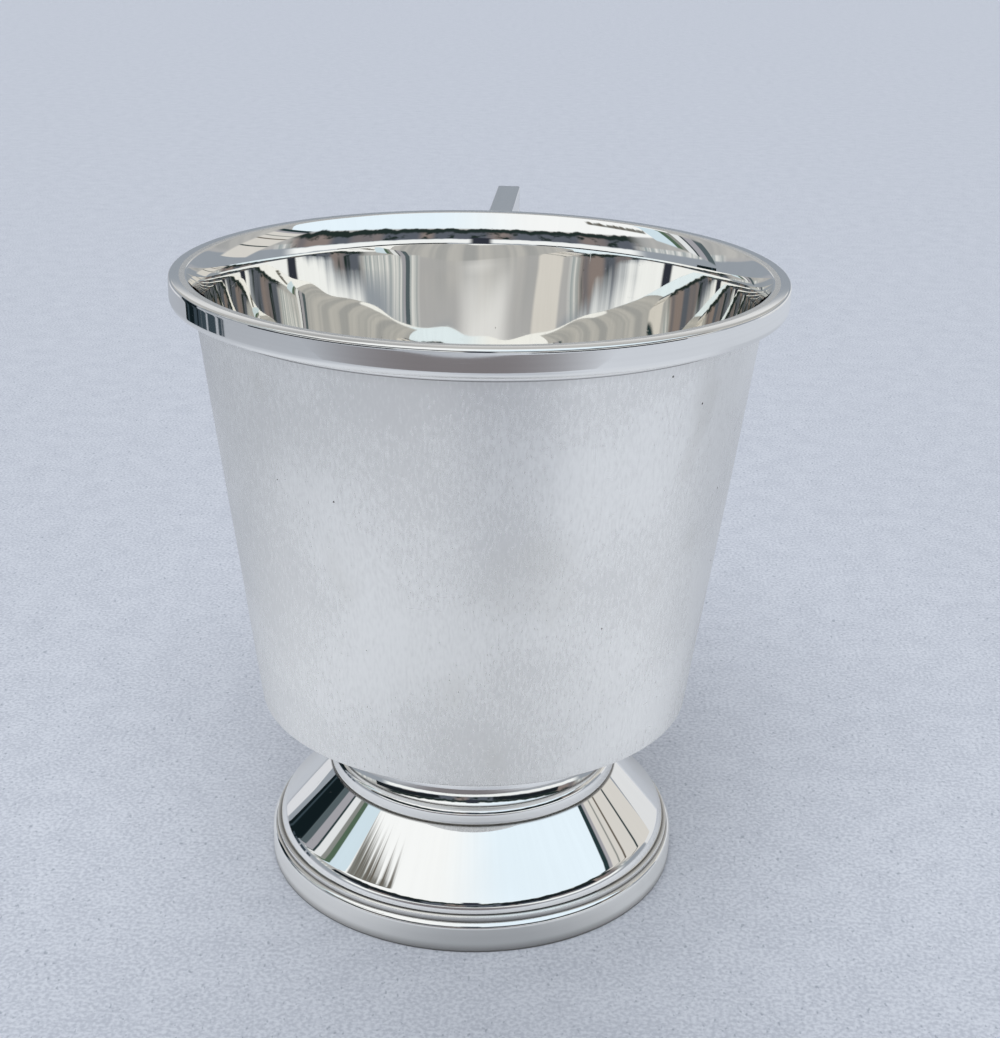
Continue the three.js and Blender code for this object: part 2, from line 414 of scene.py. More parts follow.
# %% Cone and skirt
foot_sheet = 0.8 * MM
cone_rise = 7.4 * MM
cone_foot = cone_top - cone_rise
cone_run = skirt_radius - cone_top_radius
cone_foot_round = 1.2 * MM
flange_reach = 0.6 * MM
flange_bore = neck_bore - flange_reach
flange_ease = 0.5 * MM
skirt_ease = 0.15 * MM
inner_ease = 0.4 * MM
close_rows = 0.3 * MM
slope_sheet = foot_sheet * np.hypot(cone_run, cone_rise) / cone_rise
skirt_bore = skirt_radius - foot_sheet
under_flange = cone_top - foot_sheet
inner_top = (cone_top_radius + cone_run * foot_sheet / cone_rise - slope_sheet, under_flange)
inner_foot = (skirt_bore, cone_foot - cone_rise * (slope_sheet - foot_sheet) / cone_run)
slope_top = (cone_top_radius, cone_top)
slope_foot = (skirt_radius, cone_foot)
below_top = (cone_top_radius + close_rows * cone_run / cone_rise, cone_top - close_rows)
# The bend from below_top is straight: it sets rows close together where the joint's dark line,
# tarnish and painted shade, fades.
cone = place(turned("foot_cone_shell", outline(
    (skirt_bore, skirt_foot),
    eased((skirt_bore, skirt_foot), (skirt_radius, skirt_foot), slope_foot, skirt_ease),
    eased((skirt_radius, skirt_foot), slope_foot, slope_top, cone_foot_round, steps=40),
    bend(below_top, below_top, slope_top, steps=8),
    (flange_bore, cone_top),
    (flange_bore, under_flange),
    eased((flange_bore, under_flange), inner_top, inner_foot, flange_ease),
    eased(inner_top, inner_foot, (skirt_bore, skirt_foot), inner_ease),
)), "foot_cone")

# %% Flat wire and band
wire_ease = 0.15 * MM
wire_foot = (fillet_radius, band_top)
wire_back = (skirt_radius, fillet_top)
flat_wire = place(turned("flat_wire", outline(
    (skirt_radius, band_top),
    wire_foot,
    eased(wire_foot, (fillet_radius, fillet_top), wire_back, wire_ease, steps=12),
    wire_back,
)), "foot_fillet")

shoulder = 0.9 * MM
band_ease = 0.3 * MM
base_band = place(turned("base_band", outline(
    (skirt_radius, 0),
    eased((skirt_radius, 0), (band_radius, 0), (band_radius, band_top), band_ease),
    arc((band_radius - shoulder, band_top - shoulder), shoulder, 0, 90),
    (skirt_radius, band_top),
)), "foot_band")

# %% [markdown]
# ## The handle
#
# Three lengths of rectangular bar, mitred at the corners like a picture frame and soldered. Each is
# a rounded rectangle carried from one cut to the other. A bevelled cube would round the cuts as
# well, but here the cuts stay flat, so the mitres close to a hairline.

# %% Section and corners of the bars
bar_edge = 0.3 * MM
arm_low, arm_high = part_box("handle_top_arm")
lower_low, lower_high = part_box("handle_lower_arm")
bar_width = arm_high.x - arm_low.x
bar_depth = arm_high.z - arm_low.z
upper_outer = np.array((arm_high.y, mug_top))
lower_outer = np.array((lower_high.y, lower_low.z))
lean = (upper_outer - lower_outer) / (upper_outer - lower_outer)[1]
grip_breadth = bar_depth * np.linalg.norm(lean)
upper_inner = upper_outer - bar_depth * lean - (grip_breadth, 0)
lower_inner = lower_outer + bar_depth * lean - (grip_breadth, 0)


def rounded_section(steps=7):
    """Rounded rectangle, as shares across (-1/2 to 1/2) and through the bar (0 inside, 1 outside)."""
    turn = np.linspace(0, np.pi / 2, steps)
    quarter = bar_edge * np.column_stack([np.cos(turn), np.sin(turn)])
    reach = np.array([bar_width, bar_depth]) / 2 - bar_edge
    signs = np.array([(1, 1), (-1, 1), (-1, -1), (1, -1)])
    corners = [sign * (reach + (quarter if sign.prod() > 0 else quarter[::-1])) for sign in signs]
    ring = np.vstack(corners)
    return np.column_stack([ring[:, 0] / bar_width, ring[:, 1] / bar_depth + 0.5])


print(f"bar {bar_width / MM:.1f} x {bar_depth / MM:.1f} mm")

# %% Mitred bars
bite = 0.27 * MM
rim_end = axis_y + rim_radius - bite


def bar_piece(name, inner, outer, rows=40):
    """Bar between two flat cuts.

    inner and outer hold the two ends of its inner and outer edges, as (along y, height). A point
    of the section, a share b through the bar, lies at (1-b) inner + b outer at every step t of
    the way along, and the two cuts are closed by one face each.
    """
    section = rounded_section()
    t = np.linspace(0, 1, rows)[:, None, None]
    inner, outer = np.array(inner), np.array(outer)
    near = (1 - t) * inner[0] + t * inner[1]
    far = (1 - t) * outer[0] + t * outer[1]
    through = section[None, :, 1:]
    plane = (1 - through) * near + through * far
    across = np.broadcast_to(section[None, :, :1] * bar_width, plane[..., :1].shape)
    points = np.concatenate([across, plane], axis=-1)
    length = np.linalg.norm(outer[1] - outer[0])
    grain = np.concatenate([
        across, np.broadcast_to(through * bar_depth, across.shape),
        np.broadcast_to(t * length, across.shape)], axis=-1)
    index = np.arange(rows * len(section)).reshape(rows, len(section))
    beside = np.roll(index, -1, axis=1)
    sides = np.stack([index[:-1], index[1:], beside[1:], beside[:-1]], axis=-1).reshape(-1, 4)
    faces = sides.tolist() + [index[0].tolist(), index[-1][::-1].tolist()]
    return mesh_piece(
        name, points.reshape(-1, 3), faces, grain.reshape(-1, 3), np.zeros(rows * len(section)))


def wall_end(z):
    """Where a bar ends inside the wall, at a height."""
    return axis_y + wall_radius(z) - bite


top_arm = place(bar_piece(
    "top_arm_bar",
    inner=[(rim_end, arm_low.z), upper_inner],
    outer=[(rim_end, mug_top), upper_outer]), "handle_top_arm")
grip = place(bar_piece(
    "grip_bar",
    inner=[upper_inner, lower_inner],
    outer=[upper_outer, lower_outer]), "handle_grip")
lower_arm = place(bar_piece(
    "lower_arm_bar",
    inner=[lower_inner, (wall_end(lower_high.z), lower_high.z)],
    outer=[lower_outer, (wall_end(lower_low.z), lower_low.z)]), "handle_lower_arm")

# %% [markdown]
# ## Silver
#
# Polished silver is the whitest of the metals, with a trace of warmth. It is never one flat grey:
# the buff leaves streaks along the grain that can just be felt, handling leaves haze, dull patches
# and hairline scratches, and there are pits and dark polish in the joints, with painted shade laid
# over the joints as well. An image could hold all this, but noise that is worked out from the point
# itself has no seams and no resolution, so the finish is built from nodes.

# %% Node helpers
def node(tree, kind, inputs=None, **settings):
    """One shader node: settings are its properties, inputs are values or sockets for its sockets."""
    made = tree.nodes.new("ShaderNode" + kind)
    for key, value in settings.items():
        setattr(made, key, value)
    for key, value in (inputs or {}).items():
        if isinstance(value, bpy.types.NodeSocket):
            tree.links.new(value, made.inputs[key])
        else:
            made.inputs[key].default_value = value
    return made


def maths(tree, operation, first, second=0.0, third=0.0):
    """Result of one sum on up to three values or sockets."""
    return node(tree, "Math", {0: first, 1: second, 2: third}, operation=operation).outputs[0]


def ranged(tree, value, low, high, to_low=0.0, to_high=1.0):
    """A value moved from one range to another in a soft S, and held at the ends."""
    limits = {"Value": value, "From Min": low, "From Max": high, "To Min": to_low, "To Max": to_high}
    return node(tree, "MapRange", limits, interpolation_type="SMOOTHSTEP").outputs["Result"]


def mixed(tree, share, first, second):
    """Colour between two colours or sockets, at a share from 0 to 1."""
    made = node(tree, "Mix", {0: share}, data_type="RGBA")
    for socket, colour in ((made.inputs[6], first), (made.inputs[7], second)):
        if isinstance(colour, bpy.types.NodeSocket):
            tree.links.new(colour, socket)
        else:
            socket.default_value = (*colour, 1)
    return made.outputs[2]


def noise(tree, vector, scale, detail=3.0, turn=(0, 0, 0)):
    """Cloudy noise from 0 to 1. The scale is in waves a metre, one for each axis of the vector."""
    spread = node(tree, "Mapping", {"Vector": vector, "Scale": scale, "Rotation": turn})
    inputs = {"Vector": spread.outputs[0], "Scale": 1.0, "Detail": detail}
    return node(tree, "TexNoise", inputs).outputs["Fac"]


print("node helpers ready")

# %% Scratches and pits
scratches = [
    {"scale": (60, 900, 3800), "turn": (0.3, 0.1, 0.2), "crest": (0.72, 0.78)},
    {"scale": (2900, 1500, 70), "turn": (0.1, 0.5, 0.9), "crest": (0.73, 0.79)},
]
scratch_break = (140, 140, 140)
scratch_break_cut = (0.5, 0.62)
pit_cells = 300.0
pit_edge = (0.05, 0.03)
pit_chance = 0.72


def hairlines(tree, vector):
    """Thin scratches: sheets of noise, in two directions, cut to their crests, broken by clouds."""
    first, second = (
        ranged(tree, noise(tree, vector, way["scale"], detail=1.0, turn=way["turn"]), *way["crest"])
        for way in scratches)
    broken = ranged(tree, noise(tree, vector, scratch_break), *scratch_break_cut)
    return maths(tree, "MULTIPLY", maths(tree, "MAXIMUM", first, second), broken)


def pits(tree, vector):
    """Tiny holes: the middles of a few cells of a scattered pattern."""
    cells = node(tree, "TexVoronoi", {"Vector": vector, "Scale": pit_cells})
    chosen = node(tree, "SeparateColor", {"Color": cells.outputs["Color"]}).outputs["Red"]
    middle = ranged(tree, cells.outputs["Distance"], *pit_edge)
    return maths(tree, "MULTIPLY", middle, maths(tree, "GREATER_THAN", chosen, pit_chance))


print(f"cells of {1 / pit_cells / MM:.1f} mm, a pit in {1 - pit_chance:.0%} of them")

# %% Silver finish
silver_tint = (0.975, 0.966, 0.936)
dull_tint = (0.85, 0.84, 0.815)
handled_tint = (0.81, 0.795, 0.755)
# Colour of tarnish in pits and joints, and of the painted shade laid into the joints.
tarnish_and_shade_tint = (0.15, 0.14, 0.13)
cloud_scale = (55, 55, 55)
handled_scale = (85, 85, 60)
dull_cut = (0.75, 1.25)
handled_cut = (0.58, 0.72)
handled_share = 0.5
# How dark the joints get: tarnish and painted shade.
crevice_tarnish_and_shade = 0.85
scratch_rough = 0.12
stain_rough = 0.3


def silver(name, polish, haze, streak, tone, relief, grain_scale):
    """Polished silver.

    roughness = polish + haze x clouds + streak x noise drawn out along the grain + a share of the
    hairlines + a share of the tarnish and shade mask. colour = silver, dulled a little along the
    streaks and where it is handled, and tarnished in crevices and pits, with painted shade in the
    crevices. The streaks stand up by the relief.
    """
    material = bpy.data.materials.new(name)
    material.use_nodes = True
    tree = material.node_tree
    shader = tree.nodes["Principled BSDF"]
    spot = node(tree, "TexCoord").outputs["Object"]
    grain = node(tree, "Attribute", attribute_name="grain").outputs["Vector"]
    crevice = node(tree, "Attribute", attribute_name="crevice").outputs["Fac"]

    clouds = noise(tree, spot, cloud_scale, detail=4.0)
    streaks = noise(tree, grain, grain_scale, detail=4.0)
    # Dark marks: tarnish in the pits, and tarnish with painted shade in the joints.
    tarnish_and_shade = maths(tree, "MAXIMUM", maths(tree, "MULTIPLY", crevice, crevice_tarnish_and_shade), pits(tree, spot))

    dulled = ranged(tree, maths(tree, "ADD", clouds, streaks), *dull_cut, to_high=tone)
    touched = noise(tree, spot, handled_scale, detail=2.0)
    handled = ranged(tree, touched, *handled_cut, to_high=handled_share * tone)
    worn = mixed(tree, handled, mixed(tree, dulled, silver_tint, dull_tint), handled_tint)
    colour = mixed(tree, tarnish_and_shade, worn, tarnish_and_shade_tint)
    rough = maths(tree, "MULTIPLY_ADD", clouds, haze, polish)
    rough = maths(tree, "MULTIPLY_ADD", streaks, streak, rough)
    rough = maths(tree, "MULTIPLY_ADD", hairlines(tree, spot), scratch_rough, rough)
    rough = maths(tree, "MULTIPLY_ADD", tarnish_and_shade, stain_rough, rough)
    raised = node(tree, "Bump", {"Height": streaks, "Distance": relief, "Strength": 1.0})

    shader.inputs["Metallic"].default_value = 1.0
    tree.links.new(raised.outputs["Normal"], shader.inputs["Normal"])
    tree.links.new(colour, shader.inputs["Base Color"])
    tree.links.new(rough, shader.inputs["Roughness"])
    print(f"finish {name}: roughness from {polish} to {polish + haze + streak:.3f}")
    return material


# %% Five degrees of polish
MICRON = 1e-6
satin_grain = (3600, 3600, 1100)
drawn_grain = (900, 900, 60)
turned_grain = (9, 9, 2600)
outside_silver = silver(
    "silver_outside", polish=0.20, haze=0.08, streak=0.06, tone=1.0,
    relief=2.0 * MICRON, grain_scale=satin_grain)
inside_silver = silver(
    "silver_inside", polish=0.0, haze=0.015, streak=0.015, tone=0.2,
    relief=0.15 * MICRON, grain_scale=drawn_grain)
moulding_silver = silver(
    "silver_moulding", polish=0.01, haze=0.03, streak=0.03, tone=0.27,
    relief=0.3 * MICRON, grain_scale=turned_grain)
cone_silver = silver(
    "silver_cone", polish=0.0, haze=0.01, streak=0.02, tone=0.17,
    relief=0.15 * MICRON, grain_scale=drawn_grain)
bar_silver = silver(
    "silver_bar", polish=0.05, haze=0.04, streak=0.05, tone=0.33,
    relief=0.6 * MICRON, grain_scale=drawn_grain)

# %% Give each piece its finish
finishes = {
    moulding_silver: (rim_wire, neck, collar, flat_wire, base_band),
    bar_silver: (top_arm, grip, lower_arm),
    cone_silver: (cone,),
    inside_silver: (floor_disc,),
    outside_silver: (wall,),
}
for finish, pieces in finishes.items():
    for piece in pieces:
        piece.data.materials.append(finish)
    print(finish.name, "is on", ", ".join(piece.name for piece in pieces))

# %% The bowl is brighter inside
wall.data.materials.append(inside_silver)
face_count = len(wall.data.polygons)
normals = np.empty(face_count * 3, np.float32)
centres = np.empty_like(normals)
wall.data.polygons.foreach_get("normal", normals)
wall.data.polygons.foreach_get("center", centres)
outward = (normals * (centres - np.tile((0, axis_y, 0), face_count))).reshape(-1, 3)
faces_in = outward[:, :2].sum(axis=1) < 0
wall.data.polygons.foreach_set("material_index", faces_in.astype(np.int32))
print("faces inside the bowl:", int(faces_in.sum()))

# %% [markdown]
# ## Paper
#
# The mug stands on a wide sheet of pale, slightly felted paper. Most of what the outside of the bowl
# shows is this sheet. The eye sees its blue-grey grain, which the satin silver would blur to one soft
# tone. A mirror of the grain itself would be noisy, so reflections get a soft tone instead, with light
# and shade painted into it: painted light beside the mug, painted shade in front of the foot and away
# from it, and a painted shadow further in front.

# %% Paper as the eye sees it
paper_light = (0.69, 0.705, 0.737)
paper_dark = (0.525, 0.542, 0.582)
fibre_tint = (0.28, 0.31, 0.35)
felt_scale = (1900, 1900, 1900)
felt_cut = (0.3, 0.7)
mottle_scale = (190, 190, 190)
mottle_share = 0.25
fibre_scale = (1500, 900, 1500)
fibre_turn = (0, 0, 0.6)
fibre_cut = (0.64, 0.72)
fibre_share = 0.6


def felted(tree, spot):
    """Fine grain and a slow mottle between two close colours, with scattered dark fibres."""
    fine = noise(tree, spot, felt_scale, detail=2.0)
    mottle = maths(tree, "SUBTRACT", noise(tree, spot, mottle_scale, detail=3.0), 0.5)
    grain = maths(tree, "MULTIPLY_ADD", mottle, mottle_share, fine)
    sheet = mixed(tree, ranged(tree, grain, *felt_cut), paper_dark, paper_light)
    fibres = noise(tree, spot, fibre_scale, detail=2.0, turn=fibre_turn)
    return mixed(tree, ranged(tree, fibres, *fibre_cut, to_high=fibre_share), sheet, fibre_tint)


print(f"grain of about {1 / felt_scale[0] / MM:.1f} mm in the paper")

# %% Paper as the silver shows it, with painted light and shade
# Tones the silver sees on the paper: painted shade under the foot, behind, on the left and far off,
# painted light beside the mug and on the right.
paper_under_painted_shade = (0.46, 0.47, 0.485)
paper_beside_painted_light = (0.735, 0.74, 0.75)
paper_left_painted_shade = (0.56, 0.57, 0.59)
paper_right_painted_light = (0.71, 0.72, 0.74)
paper_behind_painted_shade = (0.56, 0.57, 0.59)
paper_far_left_painted_shade = (0.45, 0.46, 0.48)
paper_far_right_painted_light = (0.66, 0.67, 0.69)
paper_shaded = (0.40, 0.415, 0.45)
under, clear = 7 * MM, 23 * MM
beside, away, far_off = 70 * MM, 190 * MM, 330 * MM
behind_start, behind_end = -30 * MM, 60 * MM
shade_core, shade_reach = 20 * MM, 85 * MM
shade_share = 0.48
under_middle = (4 * MM, axis_y - 22 * MM, 0)
bright_middle = (5 * MM, axis_y - 15 * MM, 0)
shade_middle = (42 * MM, axis_y - 150 * MM, 0)


def painted_light_and_shade_tone(tree, spot):
    """One tone with painted light and shade, by the distance from three points on the paper.

    It is dim in front of the foot with painted shade, bright beside it with painted light and dim
    again away from it with painted shade, with a painted shadow further in front. Away from the mug
    it is dimmer on the left and behind than on the right, as painted shade and light.
    """
    foot, out, shade = (
        node(tree, "VectorMath", {0: spot, 1: middle}, operation="DISTANCE").outputs["Value"]
        for middle in (under_middle, bright_middle, shade_middle))
    across, along, _ = node(tree, "SeparateXYZ", {"Vector": spot}).outputs
    rightward = ranged(tree, across, -away, away)
    shaded = ranged(tree, shade, shade_reach, shade_core, to_high=shade_share)
    dim = mixed(tree, rightward, paper_left_painted_shade, paper_right_painted_light)
    distant = mixed(tree, rightward, paper_far_left_painted_shade, paper_far_right_painted_light)
    tone = mixed(tree, ranged(tree, foot, under, clear), paper_under_painted_shade, paper_beside_painted_light)
    tone = mixed(tree, ranged(tree, out, beside, away), tone, dim)
    tone = mixed(tree, ranged(tree, along, behind_start, behind_end), tone, paper_behind_painted_shade)
    tone = mixed(tree, ranged(tree, out, away, far_off), tone, distant)
    return mixed(tree, shaded, tone, paper_shaded)


print(f"brightest within {beside / MM:.0f} mm of the mug")

# %% Paper floor
paper_reach = 6.0
paper_rough = 0.95
paper_gloss = 0.1


def paper_finish():
    """Felted paper to the eye, and in a reflection a soft tone with painted light and shade."""
    material = bpy.data.materials.new("pale_paper")
    material.use_nodes = True
    tree = material.node_tree
    shader = tree.nodes["Principled BSDF"]
    spot = node(tree, "TexCoord").outputs["Object"]
    mirrored = node(tree, "LightPath").outputs["Is Glossy Ray"]
    colour = mixed(tree, mirrored, felted(tree, spot), painted_light_and_shade_tone(tree, spot))
    tree.links.new(colour, shader.inputs["Base Color"])
    shader.inputs["Roughness"].default_value = paper_rough
    shader.inputs["Specular IOR Level"].default_value = paper_gloss
    return material


def card(name, corners, material):
    """Flat four-cornered card that isn't part of the mug."""
    mesh = bpy.data.meshes.new(name)
    mesh.from_pydata([tuple(corner) for corner in corners], [], [(0, 1, 2, 3)])
    made = bpy.data.objects.new(name, mesh)
    made.data.materials.append(material)
    bpy.context.scene.collection.objects.link(made)
    return made


paper_corners = paper_reach * np.array([(-1, -1, 0), (1, -1, 0), (1, 1, 0), (-1, 1, 0)])
card("paper_floor", paper_corners, paper_finish())
print(f"paper {2 * paper_reach} m across")

# %% [markdown]
# ## Cards around the mug
#
# A mirror shows whatever stands around it. Photographers put dark and pale cards just out of the
# picture, so that the silver gets dark edges to read its shape by and light ones to fill it. They
# could be lit by the sky, but a card that glows with its own tone is easier to match, so these do.
# They are seen only by reflections, and they cast no light and no shadow, so what the silver shows of
# them is painted reflection.

# %% Card that only the silver sees
stripe_cut = (0.40, 0.48)


def card_finish(name, colour, across, half_width, plain, stripes):
    """Card of one tone that fades out from a share of its width, or breaks up into stripes."""
    material = bpy.data.materials.new(name)
    material.use_nodes = True
    tree = material.node_tree
    shader = tree.nodes["Principled BSDF"]
    spot = node(tree, "TexCoord").outputs["Object"]
    side = node(tree, "VectorMath", {0: spot, 1: across}, operation="DOT_PRODUCT").outputs["Value"]
    shown = ranged(tree, maths(tree, "ABSOLUTE", side), half_width, plain * half_width)
    if stripes:
        sideways = node(tree, "CombineXYZ", {"X": side}).outputs[0]
        lines = noise(tree, sideways, (stripes, 1, 1), detail=1.0)
        shown = maths(tree, "MULTIPLY", shown, ranged(tree, lines, *stripe_cut))
    tree.links.new(shown, shader.inputs["Alpha"])
    shader.inputs["Base Color"].default_value = (0, 0, 0, 1)
    shader.inputs["Emission Color"].default_value = (*colour, 1)
    shader.inputs["Emission Strength"].default_value = 1.0
    shader.inputs["Specular IOR Level"].default_value = 0.0
    material.cycles.emission_sampling = "NONE"
    return material


def standing_card(name, way, distance, half_width, foot, top, colour, plain=0.9, stripes=0):
    """Upright card that faces the axis, at a distance and a way round, in degrees from the front."""
    turn = np.radians(way)
    out = np.array((np.sin(turn), -np.cos(turn), 0))
    across = np.array((np.cos(turn), np.sin(turn), 0))
    middle = out * distance + (0, axis_y, 0)
    ends = [middle - across * half_width, middle + across * half_width]
    low, high = np.array((0, 0, foot)), np.array((0, 0, top))
    finish = card_finish(name, colour, across, half_width, plain, stripes)
    made = card(name, [ends[0] + low, ends[1] + low, ends[1] + high, ends[0] + high], finish)
    made.visible_camera = False
    made.visible_diffuse = False
    made.visible_shadow = False
    print(f"{name}: {distance / MM:.0f} mm from the axis, {way} degrees round")


# %% Nine cards
# The front card's tone is painted shade: the dim paper in front of the mug, as the silver shows it.
front_tone = (0.20, 0.19, 0.205)
camera_tone = (0.03, 0.035, 0.05)
neck_tone = (0.012, 0.016, 0.02)
left_tone = (0.006, 0.012, 0.015)
slate_tone = (0.035, 0.055, 0.07)
striped_tone = (0.04, 0.058, 0.075)
right_panel_tone = (0.74, 0.76, 0.79)
left_panel_tone = (0.70, 0.72, 0.77)
# Each line gives the name, the way round, the distance, the half width, the foot, the top and the tone.
standing_card("card_front", -3, 200 * MM, 285 * MM, 0, 36 * MM, front_tone, plain=0.12)
standing_card("card_camera", 4, 215 * MM, 24 * MM, 92 * MM, 140 * MM, camera_tone, plain=0.5)
standing_card("card_neck_left", -48, 200 * MM, 110 * MM, 63 * MM, 98 * MM, neck_tone)
standing_card("card_neck_right", 46, 200 * MM, 110 * MM, 63 * MM, 98 * MM, neck_tone)
standing_card("card_left", -113.6, 285 * MM, 39 * MM, 0, 114 * MM, left_tone)
standing_card("card_left_slate", -117.4, 284 * MM, 9 * MM, 0, 114 * MM, slate_tone, plain=0.5)
standing_card("card_left_low", -103, 280 * MM, 62 * MM, 0, 40 * MM, striped_tone, stripes=60)
standing_card("panel_right", 137, 450 * MM, 170 * MM, 0, 85 * MM, right_panel_tone)
standing_card("panel_left", -134.5, 450 * MM, 75 * MM, 0, 60 * MM, left_panel_tone)

# %% [markdown]
# ## Sky
#
# The paper is filled by a plain, even sky, as under a white tent. Silver would show a tent as a
# blank, so reflections get a sky with more in it. An image of a room could be wrapped round the
# scene, but here all of it is in the world's nodes: each part is laid over what is below it, by its
# way round and its height in degrees. The way round is 0 in front of the mug and grows to the right.

# %% Way round and height
world = bpy.data.worlds.new("studio_sky")
bpy.context.scene.world = world
world.use_nodes = True
tree = world.node_tree
aim = node(tree, "TexCoord").outputs["Generated"]
parts = node(tree, "SeparateXYZ", {"Vector": aim})
height = maths(tree, "DEGREES", maths(tree, "ARCSINE", parts.outputs["Z"]))
ahead = maths(tree, "MULTIPLY", parts.outputs["Y"], -1.0)
turn = maths(tree, "DEGREES", maths(tree, "ARCTAN2", parts.outputs["X"], ahead))
around = node(tree, "CombineXYZ", {"X": turn}).outputs[0]
spread = node(tree, "CombineXYZ", {"X": turn, "Y": height}).outputs[0]


def upright_noise(waves, detail):
    """Noise that changes only with the way round, in waves a degree."""
    return noise(tree, around, (waves, 1, 1), detail=detail)


def within(tree, value, low, high, edge):
    """1 between two limits and 0 outside them, in a soft S over an edge on each side."""
    risen = ranged(tree, value, low - edge, low + edge)
    return maths(tree, "MULTIPLY", risen, ranged(tree, value, high + edge, high - edge))


print("the sky is measured in degrees")

# %% [markdown]
# ### Walls, ceiling and slats
#
# The ceiling is the brightest part. It comes down low in front and stays high behind, where a softly
# folded pale wall shows under it, and there are upright slats low at both sides. All edges are soft,
# because what a photographer's tent holds is out of focus.

# %% Walls
horizon = (0.37, 0.39, 0.43)
low_wall = (0.30, 0.335, 0.385)
back_low = (0.76, 0.77, 0.785)
back_side = (0.43, 0.435, 0.45)
back_wall = (0.37, 0.38, 0.39)
back_pale = (0.50, 0.50, 0.495)
behind_ways = (150, 170)
low_wall_foot = (2, 4)
back_foot = (13, 14.3)
back_start = (14.4, 17.4)
fold_cut = (0.36, 0.62)
behind = ranged(tree, maths(tree, "ABSOLUTE", turn), *behind_ways)
folds = ranged(tree, upright_noise(waves=0.075, detail=2.0), *fold_cut)
sky = mixed(tree, ranged(tree, height, *low_wall_foot), horizon, low_wall)
sky = mixed(tree, ranged(tree, height, *back_foot), sky, mixed(tree, behind, back_side, back_low))
sky = mixed(tree, ranged(tree, height, *back_start), sky, mixed(tree, folds, back_wall, back_pale))
print(f"walls up from {low_wall_foot[0]} degrees")

# %% Ceiling
ceiling_left = (0.94, 0.965, 0.985)
ceiling_right = (0.81, 0.935, 1.04)
ceiling_front_edge = 30.5
ceiling_side_edge = 67.0
ceiling_drop_behind = -9.0
ceiling_soft = (-1.5, 1)
front_ways = (-94, 102)
cool_start = (-25, 35)
cool_end = (130, 110)
front = within(tree, turn, *front_ways, edge=3)
back_edge = maths(tree, "MULTIPLY_ADD", behind, ceiling_drop_behind, ceiling_side_edge)
ceiling_edge = node(tree, "Mix", {0: front, 2: back_edge, 3: ceiling_front_edge}).outputs[0]
over_edge = maths(tree, "SUBTRACT", height, ceiling_edge)
cool = maths(tree, "MULTIPLY", ranged(tree, turn, *cool_start), ranged(tree, turn, *cool_end))
ceiling = mixed(tree, cool, ceiling_left, ceiling_right)
sky = mixed(tree, ranged(tree, over_edge, *ceiling_soft), sky, ceiling)
print(f"ceiling from {ceiling_front_edge} degrees in front and {ceiling_side_edge} at the sides")

# %% Slats low at both sides
slat_dark = (0.30, 0.35, 0.37)
slat_light = (0.74, 0.75, 0.75)
slat_cut = (0.36, 0.62)
slat_left_ways = (-121, -45)
slat_right_ways = (45, 104)
slat_heights = (13, 18)
slats = ranged(tree, upright_noise(waves=0.33, detail=2.0), *slat_cut)
on_left = within(tree, turn, *slat_left_ways, edge=3)
on_right = within(tree, turn, *slat_right_ways, edge=3)
on_sides = maths(tree, "MAXIMUM", on_left, on_right)
slatted = maths(tree, "MULTIPLY", on_sides, within(tree, height, *slat_heights, edge=1))
sky = mixed(tree, slatted, sky, mixed(tree, slats, slat_dark, slat_light))
print(f"slats from {slat_heights[0]} to {slat_heights[1]} degrees up")

# %% [markdown]
# ### Dark band
#
# The back of the bowl's inside mirrors what is in front, and it shows a ragged dark band there, over
# a white line. The band's edges flutter with noise, and it is blotched with cooler and warmer tones.

# %% Dark band in front, over a white line
bright_line = (0.90, 0.93, 0.95)
band_dark = (0.018, 0.03, 0.028)
band_cool = (0.105, 0.12, 0.15)
band_warm = (0.25, 0.21, 0.20)
ragged_flutter = 14.0
wavy_flutter = 3.0
warm_cut = (0.45, 0.55)
blotch_cut = (0.50, 0.34)
band_foot = (12, 13.5)
band_deep = (21.5, 25.5)
band_head = (31.2, 28.8)
line_heights = (5, 12)
facing_ways = (-70, 96)
flutter = maths(tree, "SUBTRACT", upright_noise(waves=0.13, detail=3.0), 0.5)
ragged = maths(tree, "MULTIPLY_ADD", flutter, ragged_flutter, height)
wavy = maths(tree, "MULTIPLY_ADD", flutter, wavy_flutter, height)
facing = within(tree, turn, *facing_ways, edge=5)
lined = maths(tree, "MULTIPLY", facing, within(tree, wavy, *line_heights, edge=1))
banded = maths(tree, "MULTIPLY", ranged(tree, wavy, *band_foot), ranged(tree, ragged, *band_head))
warmth = noise(tree, around, (0.045, 1, 1), detail=1.0, turn=(0, 0, 0.4))
blotches = noise(tree, spread, (0.16, 0.10, 1), detail=3.0)
band = mixed(tree, ranged(tree, warmth, *warm_cut), band_cool, band_warm)
band = mixed(tree, ranged(tree, blotches, *blotch_cut), band, band_dark)
band = mixed(tree, ranged(tree, ragged, *band_deep), band, band_dark)
sky = mixed(tree, lined, sky, bright_line)
sky = mixed(tree, maths(tree, "MULTIPLY", facing, banded), sky, band)
print(f"dark band from {band_foot[0]} to about {band_head[0]} degrees up")

# %% [markdown]
# ### Patch and strips
#
# The cone of the foot mirrors two narrow places, part of the way up on the left and on the right.
# Strips of light and dark stand side by side in both, with a streaky dark patch next to the left
# ones. Each strip could be a card of its own, but one colour ramp holds a whole row of them.

